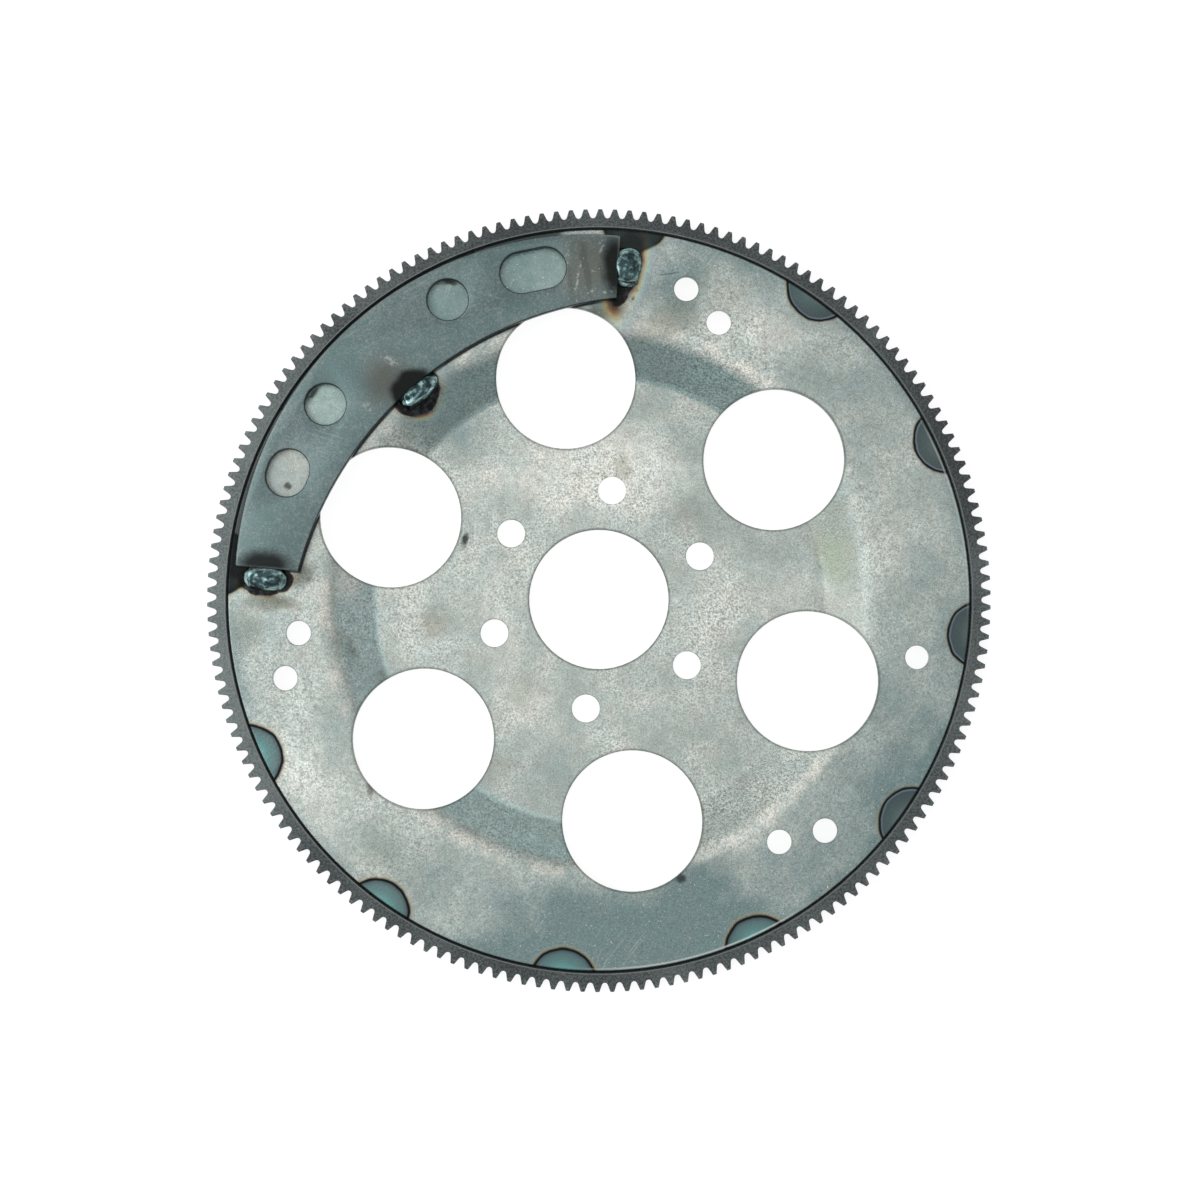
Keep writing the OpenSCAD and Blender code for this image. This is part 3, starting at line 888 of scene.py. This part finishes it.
# Angles in degrees: edges sharper than sharp are rolled, faces flatter than flat are joined
plateSpec = {"bevel": 0.7 * mm, "steps": 3, "sharp": 50, "flat": 0.2, "merge": 0.000001}


# The stamped plate with its edges rolled over
def makeWeightPlate():
    piece = bpy.data.objects.new("weightPlate", nodes["counterweight"].data.copy())
    bpy.context.collection.objects.link(piece)
    pickOnly(piece)
    bpy.ops.mesh.customdata_custom_splitnormals_clear()
    editAll()
    bpy.ops.mesh.remove_doubles(threshold=plateSpec["merge"])
    bpy.ops.mesh.dissolve_limited(angle_limit=math.radians(plateSpec["flat"]))
    bpy.ops.object.mode_set(mode="OBJECT")
    roll = piece.modifiers.new("roll", "BEVEL")
    roll.width = plateSpec["bevel"]
    roll.segments = plateSpec["steps"]
    roll.limit_method = "ANGLE"
    roll.angle_limit = math.radians(plateSpec["sharp"])
    applyModifiers(piece)
    bpy.ops.object.shade_smooth_by_angle(angle=smoothAngle)
    joinFrame(piece, "counterweight", weightSteel)


# Ripples run in rings round the origin, so a bead starts as a ball whose crown is there
ballRadius = 0.46
ballSteps = 72
ballSwell = 0.3  # how far it is cast towards a block
crescents = bpy.data.textures.new("crescents", "WOOD")
crescents.wood_type = "RINGS"
crescents.noise_basis_2 = "SIN"
lumps = bpy.data.textures.new("lumps", "CLOUDS")
lumps.noise_scale = 0.35


def applyModifiers(piece):
    for modifier in list(piece.modifiers):
        bpy.ops.object.modifier_apply(modifier=modifier.name)


def cutAway(point, normal):
    editAll()
    bpy.ops.mesh.bisect(plane_co=point, plane_no=normal, use_fill=True, clear_outer=True)
    bpy.ops.object.mode_set(mode="OBJECT")


# A rippled oval bead with its line along X, in millimetres; the crown sits off its middle
def rippledBead(name, half, crown, ripple, lump):
    bpy.ops.object.select_all(action="DESELECT")
    bpy.ops.mesh.primitive_uv_sphere_add(segments=ballSteps, ring_count=ballSteps, radius=ballRadius)
    piece = bpy.context.active_object
    piece.name = name
    piece.data.name = name
    toCrown = (-crown[0] * ballRadius, -crown[1] * ballRadius, -ballRadius)
    editAll()
    bpy.ops.transform.rotate(value=math.pi / 2, orient_axis="Y", center_override=(0, 0, 0))
    bpy.ops.object.mode_set(mode="OBJECT")
    cast = piece.modifiers.new("fuller", "CAST")
    cast.cast_type = "CUBOID"
    cast.factor = ballSwell
    cast.size = ballRadius
    applyModifiers(piece)
    editAll()
    bpy.ops.transform.translate(value=toCrown)
    bpy.ops.object.mode_set(mode="OBJECT")
    for texture, strength in ((lumps, lump), (crescents, ripple)):
        displace = piece.modifiers.new(texture.name, "DISPLACE")
        displace.texture = texture
        displace.texture_coords = "LOCAL"
        displace.strength = strength * ballRadius
        displace.mid_level = 0.5
    applyModifiers(piece)
    editAll()
    bpy.ops.transform.translate(value=[-step for step in toCrown])
    bpy.ops.transform.resize(value=[size / ballRadius for size in half])
    bpy.ops.object.mode_set(mode="OBJECT")
    return piece


def cutBlock(piece, low, high):
    bpy.ops.object.select_all(action="DESELECT")
    bpy.ops.mesh.primitive_cube_add(size=1, location=[(a + b) / 2 for a, b in zip(low, high)])
    block = bpy.context.active_object
    block.scale = [b - a for a, b in zip(low, high)]
    bpy.ops.object.transform_apply(location=True, rotation=True, scale=True)
    trim = piece.modifiers.new("plateEnd", "BOOLEAN")
    trim.object = block
    trim.operation = "DIFFERENCE"
    trim.solver = "EXACT"
    pickOnly(piece)
    applyModifiers(piece)
    bpy.data.objects.remove(block)


def placeBead(piece, turn, place, spin=0.0):
    seat = Matrix.Rotation(math.radians(turn), 4, "Z") @ Matrix.Translation(Vector(place) * mm)
    piece.matrix_world = seat @ Matrix.Rotation(math.radians(spin), 4, "Z") @ Matrix.Scale(mm, 4)
    pickOnly(piece)
    bpy.ops.object.transform_apply(location=True, rotation=True, scale=True)
    bpy.ops.object.shade_smooth_by_angle(angle=smoothAngle)


def joinFrame(piece, nodeName, finish):
    piece.data.materials.clear()
    piece.data.materials.append(finish)
    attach(piece, "root")
    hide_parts(nodeName)


makeWeightPlate()
print("weight plate made")

# Millimetres: out is how far a bead's line lies off the plate's edge, block is what the plate takes away
weightBeads = {
    "rimZ": 12.0, "root": 0.6, "plate": 4.5, "endRadius": 150.8, "innerRadius": 127.0,
    "ripple": 0.10, "lump": 0.08,
    "block": {"half": 40, "depth": 20, "below": 1},
    "ends": [
        {"name": "leadBead", "node": "weight_weld_lead", "turn": 63.45, "side": -1,
         "out": 3.4, "half": (9.0, 7.0, 5.7), "crown": (0.2, -0.3)},
        {"name": "trailBead", "node": "weight_weld_trail", "turn": 151.75, "side": 1,
         "out": 3.8, "half": (9.8, 6.2, 5.6), "crown": (-0.4, 0.3)},
    ],
    "middle": {"name": "middleBead", "node": "weight_weld_mid", "turn": 107.6,
               "out": 2.4, "half": (10.4, 5.2, 5.7), "crown": (0.4, -0.3), "foot": 2.2, "sunk": 0.2},
}


def makeWeightBeads():
    plan = weightBeads
    block = plan["block"]
    lift = plan["rimZ"] - plan["root"]
    top = plan["root"] + plan["plate"]
    for row in plan["ends"]:
        piece = rippledBead(row["name"], row["half"], row["crown"], plan["ripple"], plan["lump"])
        cutAway((0, 0, plan["root"]), (0, 0, -1))
        low, high = sorted((-row["side"] * row["out"], -row["side"] * block["depth"]))
        cutBlock(piece, (-block["half"], low, -block["below"]), (block["half"], high, top))
        placeBead(piece, row["turn"], (plan["endRadius"], row["side"] * row["out"], lift))
        joinFrame(piece, row["node"], weldMetal)
    row = plan["middle"]
    piece = rippledBead(row["name"], row["half"], row["crown"], plan["ripple"], plan["lump"])
    cutAway((0, 0, -row["foot"]), (0, 0, -1))
    under = plan["root"] - row["sunk"]
    cutBlock(piece, (-block["half"], -block["depth"], under), (block["half"], -row["out"], top))
    placeBead(piece, row["turn"], (plan["innerRadius"] - row["out"], 0, lift), 90)
    joinFrame(piece, row["node"], weldMetal)


makeWeightBeads()
print("weight beads made")

ringBeads = {
    "count": 12, "turn": 1.4, "bore": 167.98, "backZ": 9.0,
    "half": (14.4, 8.3, 8.3), "shift": 3.0, "crown": (0.9, 0.0), "ripple": 0.05, "lump": 0.06,
}


# Fillet beads in the corner behind the rim: one is modelled and copied round
def makeRingBeads():
    plan = ringBeads
    first = rippledBead("ringBead1", plan["half"], plan["crown"], plan["ripple"], plan["lump"])
    cutAway((0, 0, -plan["shift"]), (0, 0, 1))
    cutAway((0, plan["shift"], 0), (0, -1, 0))
    shape = first.data.copy()
    for i in range(plan["count"]):
        piece = first
        if i:
            piece = bpy.data.objects.new(f"ringBead{i + 1}", shape.copy())
            bpy.context.collection.objects.link(piece)
            piece.data.name = piece.name
        seat = (plan["bore"] + plan["shift"], 0, plan["backZ"] + plan["shift"])
        placeBead(piece, plan["turn"] + 360 / plan["count"] * i, seat, 90)
        joinFrame(piece, f"ring_weld_{i + 1}", weldMetal)
    bpy.data.meshes.remove(shape)


makeRingBeads()
print("ring beads made")

# The plate lies on a plain white floor
studio = {
    "floorSize": 8, "floorZ": -0.0003, "floorGlow": 0.86, "floorGrey": (0.3, 0.3, 0.3, 1),
    "base": 0.42,
    "leftTurn": 156.9, "leftLean": 46,  # degrees, where the left soft box stands
    # strength, and where each light begins and is full
    "top": (0.64, 0.80, 0.97),
    "left": (0.60, 0.84, 0.98),
    "horizon": (0.6, 0.42, 0.10),
}


def makeFloor():
    bpy.ops.object.select_all(action="DESELECT")
    bpy.ops.mesh.primitive_plane_add(size=studio["floorSize"], location=(0, 0, studio["floorZ"]))
    floor = bpy.context.active_object
    floor.name = "floor"
    paint = bpy.data.materials.new("floorPaint")
    paint.use_nodes = True
    tree = paint.node_tree
    tree.nodes.remove(tree.nodes["Principled BSDF"])
    rays = addNode(tree, "LightPath").outputs
    mirrored = calc(tree, "MAXIMUM", rays["Is Glossy Ray"], rays["Is Transmission Ray"])
    seen = calc(tree, "MAXIMUM", rays["Is Camera Ray"], mirrored)
    shine = times(tree, seen, studio["floorGlow"])
    glow = addNode(tree, "Emission", {"Color": (1, 1, 1, 1), "Strength": shine})
    matt = addNode(tree, "BsdfDiffuse", {"Color": studio["floorGrey"]})
    both = addNode(tree, "AddShader", {0: glow.outputs[0], 1: matt.outputs[0]})
    tree.links.new(both.outputs[0], tree.nodes["Material Output"].inputs["Surface"])
    floor.data.materials.append(paint)


# Soft boxes overhead and to the left, a darker ring between, a white horizon
def makeWorld():
    world = bpy.data.worlds.new("studio")
    bpy.context.scene.world = world
    world.use_nodes = True
    tree = world.node_tree
    ray = vecCalc(tree, "NORMALIZE", addNode(tree, "TexCoord").outputs["Generated"])
    left = math.radians(studio["leftTurn"])
    lean = math.radians(studio["leftLean"])
    leftRay = (math.sin(lean) * math.cos(left), math.sin(lean) * math.sin(left), math.cos(lean))
    lights = [
        (vecCalc(tree, "DOT_PRODUCT", ray, (0, 0, 1)), studio["top"]),
        (vecCalc(tree, "DOT_PRODUCT", ray, leftRay), studio["left"]),
        (addNode(tree, "SeparateXYZ", {0: ray}).outputs[2], studio["horizon"]),
    ]
    light = studio["base"]
    for near, (strength, start, full) in lights:
        light = mulAdd(tree, ease(tree, near, start, full), strength, light)
    sky = tree.nodes["Background"].inputs
    sky["Color"].default_value = (1, 1, 1, 1)
    tree.links.new(light, sky["Strength"])


lampSpec = {"size": 0.7, "energy": 3, "side": 170, "away": 0.9, "height": 1.1}


def makeLamp():
    lamp = bpy.data.lights.new("softBox", "AREA")
    lamp.shape = "DISK"
    lamp.size = lampSpec["size"]
    lamp.energy = lampSpec["energy"]
    holder = bpy.data.objects.new("softBox", lamp)
    bpy.context.collection.objects.link(holder)
    side = math.radians(lampSpec["side"]) - viewTurn
    away = lampSpec["away"]
    holder.location = (away * math.cos(side), away * math.sin(side), lampSpec["height"])
    holder.rotation_euler = (-holder.location).to_track_quat("-Z", "Y").to_euler()


camera = {
    "away": 1.2, "field": 0.5421, "sensor": 36, "tilt": 2.0,
    "height": 0.0116, "aside": 0.0005, "down": 0.00063,
}


def makeCamera():
    eye = bpy.data.cameras.new("camera")
    eye.sensor_width = camera["sensor"]
    eye.lens = camera["sensor"] * camera["away"] / camera["field"]
    holder = bpy.data.objects.new("camera", eye)
    bpy.context.collection.objects.link(holder)
    tilt = math.radians(camera["tilt"])
    across = Vector((math.cos(-viewTurn), math.sin(-viewTurn), 0))
    up = Vector((-across.y, across.x, 0))
    back = Vector((0, 0, 1)) * math.cos(tilt) - up * math.sin(tilt)
    rise = back.cross(across)
    seat = Matrix((across, rise, back)).transposed().to_4x4()
    target = Vector((0, 0, camera["height"])) + across * camera["aside"] - up * camera["down"]
    seat.translation = target + back * camera["away"]
    holder.matrix_world = seat
    bpy.context.scene.camera = holder


makeFloor()
makeWorld()
makeLamp()
makeCamera()
bpy.context.scene.view_settings.view_transform = "Standard"
print("studio made")
